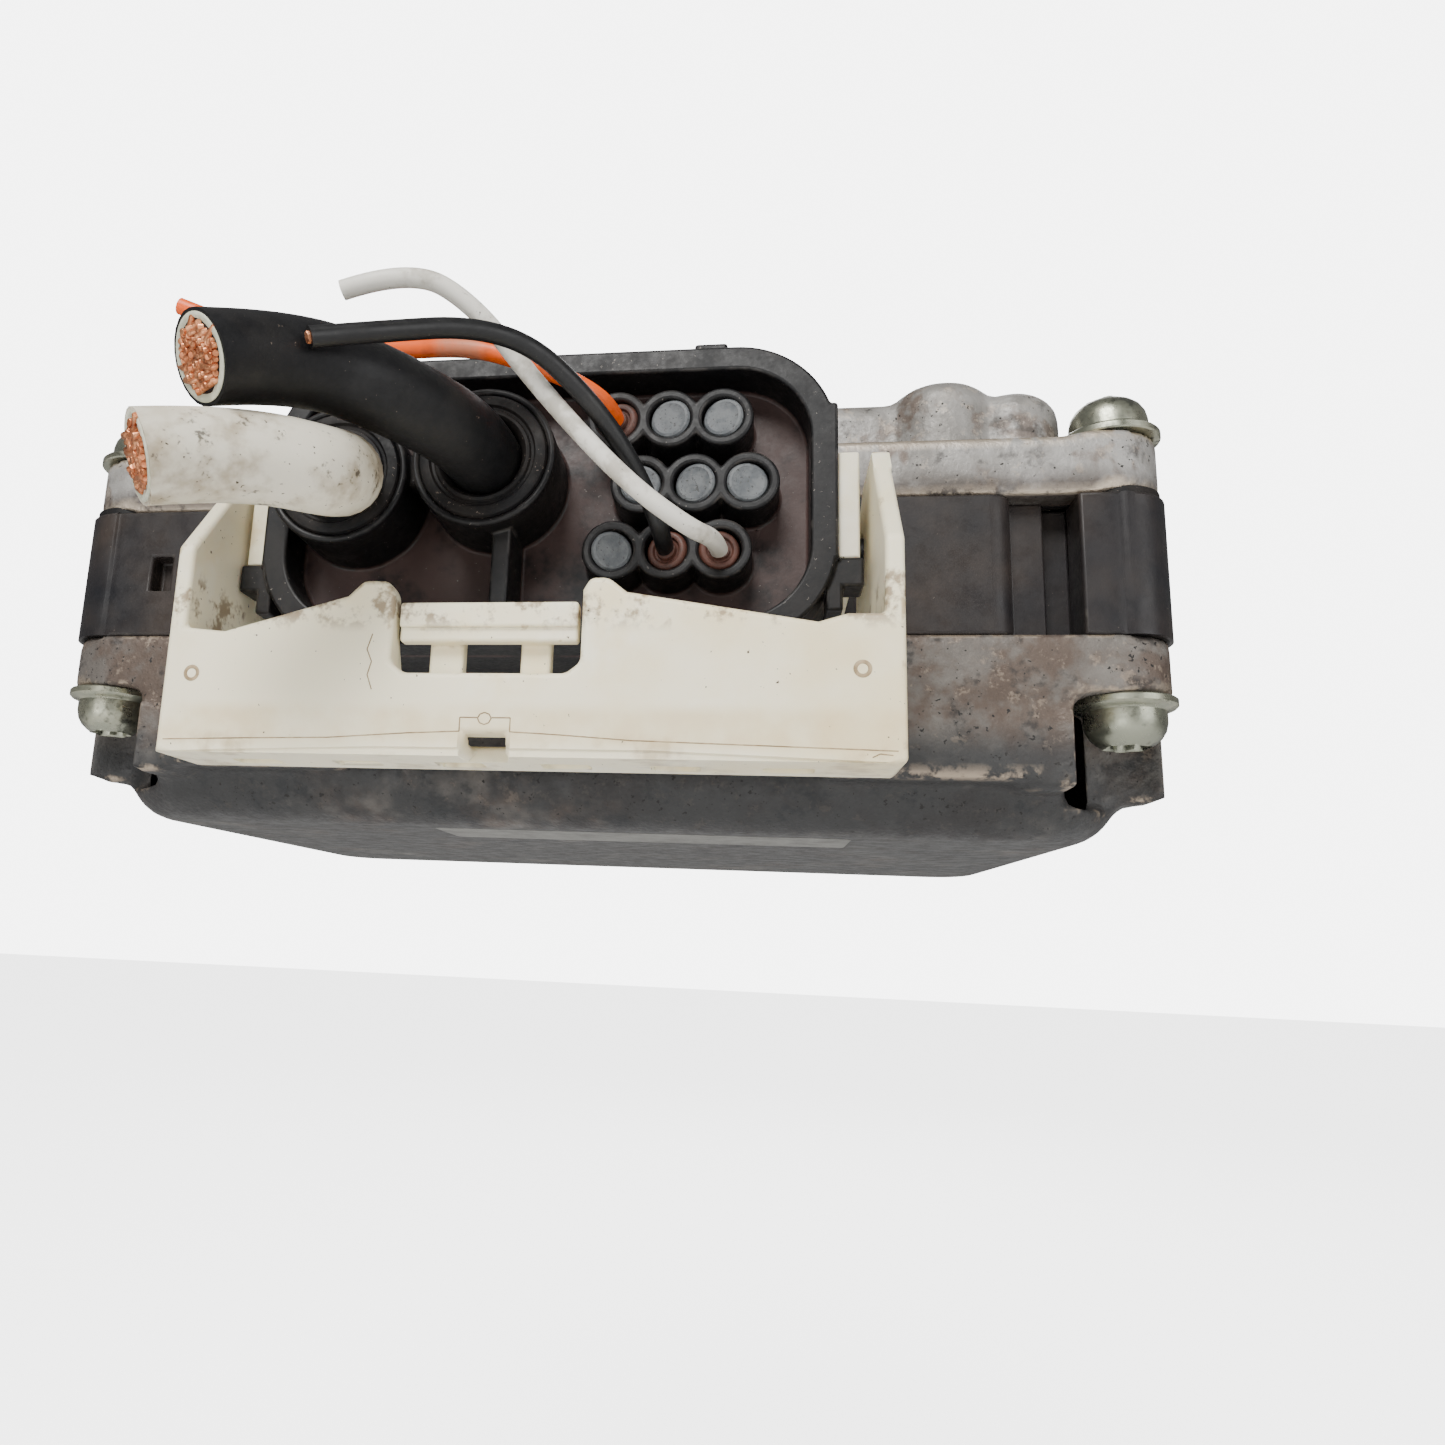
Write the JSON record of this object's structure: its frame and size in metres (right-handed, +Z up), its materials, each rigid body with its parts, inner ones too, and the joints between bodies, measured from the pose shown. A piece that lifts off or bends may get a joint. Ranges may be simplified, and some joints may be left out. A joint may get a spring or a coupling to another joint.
{
  "type": "motorised actuator head",
  "caption": "Flat motor-driven actuator head: cast dish and gear cover round a moulded frame, sealed plug with cut leads held by a white U lever.",
  "frame": {"origin": "middle of the flat base face of the lower housing", "axes": "+Z up along the gear axes out of the cover, connector and lever towards -Y, X across the width"},
  "size_m": [0.1312, 0.1458, 0.0604],
  "materials": {
    "cast_metal": "worn die-cast",
    "frame_black": "satin",
    "connector_black": "dusty satin",
    "lever_white": "satin",
    "zinc": "zinc plated",
    "steel": "bright",
    "silicone_brown": "matt",
    "plug_grey": "matt",
    "rubber_black": "matt",
    "insulation_black": "satin",
    "insulation_white": "satin",
    "insulation_orange": "satin",
    "copper": "bare copper",
    "tin": "tinned",
    "board_green": "solder mask",
    "magnet": "coated",
    "label": "matt",
    "sinter": "oiled"
  },
  "bodies": {
    "base": {"lower_housing": "cast_metal", "label_plate": "label", "lower_bearing": "steel", "stator_core": "sinter", "stator_windings": "copper", "lower_gasket": "rubber_black", "mid_frame": "frame_black", "header_signal_pins": "tin", "header_power_pins": "tin", "circuit_board": "board_green", "board_screws": "zinc", "capacitors": "magnet", "power_transistors": "connector_black", "processor": "connector_black", "choke": "sinter", "bus_bars": "copper", "upper_bearing": "steel", "upper_gasket": "rubber_black", "upper_housing": "cast_metal", "idler_pin": "steel", "output_bearing": "sinter", "output_seal": "rubber_black", "breather": "connector_black", "lower_screws": "zinc", "upper_screws": "zinc"},
    "rotor": {"motor_shaft": "steel", "rotor_core": "sinter", "rotor_magnets": "magnet", "motor_pinion": "steel"},
    "idler": {"idler_gear": "steel"},
    "output": {"output_gear": "sinter", "output_hub": "steel"},
    "plug": {"connector_housing": "connector_black", "cam_slides": "lever_white", "signal_seals": "silicone_brown", "cavity_plugs": "plug_grey", "power_retainers": "connector_black", "power_seals": "rubber_black", "signal_terminals": "tin", "power_terminals": "tin", "black_lead": "insulation_black", "black_lead_core": "copper", "white_lead": "insulation_white", "white_lead_core": "copper", "white_wire": "insulation_white", "black_wire": "insulation_black", "orange_wire": "insulation_orange"},
    "lever": {"locking_lever": "lever_white"},
    "lock": {"lever_lock": "lever_white"}
  },
  "joints": [
    {"name": "motor_spin", "type": "hinge", "parent": "base", "child": "rotor", "pos_m": [-0.026, 0, 0.011], "axis": [0, 0, 1], "continuous": true},
    {"name": "idler_spin", "type": "hinge", "parent": "base", "child": "idler", "pos_m": [-0.002, 0, 0.045], "axis": [0, 0, 1], "continuous": true},
    {"name": "output_turn", "type": "hinge", "parent": "base", "child": "output", "pos_m": [0.025, 0, 0.045], "axis": [0, 0, 1], "continuous": true},
    {"name": "connector_pull", "type": "slide", "parent": "base", "child": "plug", "axis": [0, -1, 0], "range_m": [0, 0.014]},
    {"name": "lever_swing", "type": "hinge", "parent": "plug", "child": "lever", "pos_m": [0, -0.058, 0.026], "axis": [1, 0, 0], "range_deg": [0, 50]},
    {"name": "lock_slide", "type": "slide", "parent": "lever", "child": "lock", "axis": [0, 0, 1], "range_m": [0, 0.0025]}
  ],
  "couplings": [
    {"joint": "idler_spin", "follows": "motor_spin", "ratio": -0.33333},
    {"joint": "output_turn", "follows": "motor_spin", "ratio": 0.11667}
  ]
}
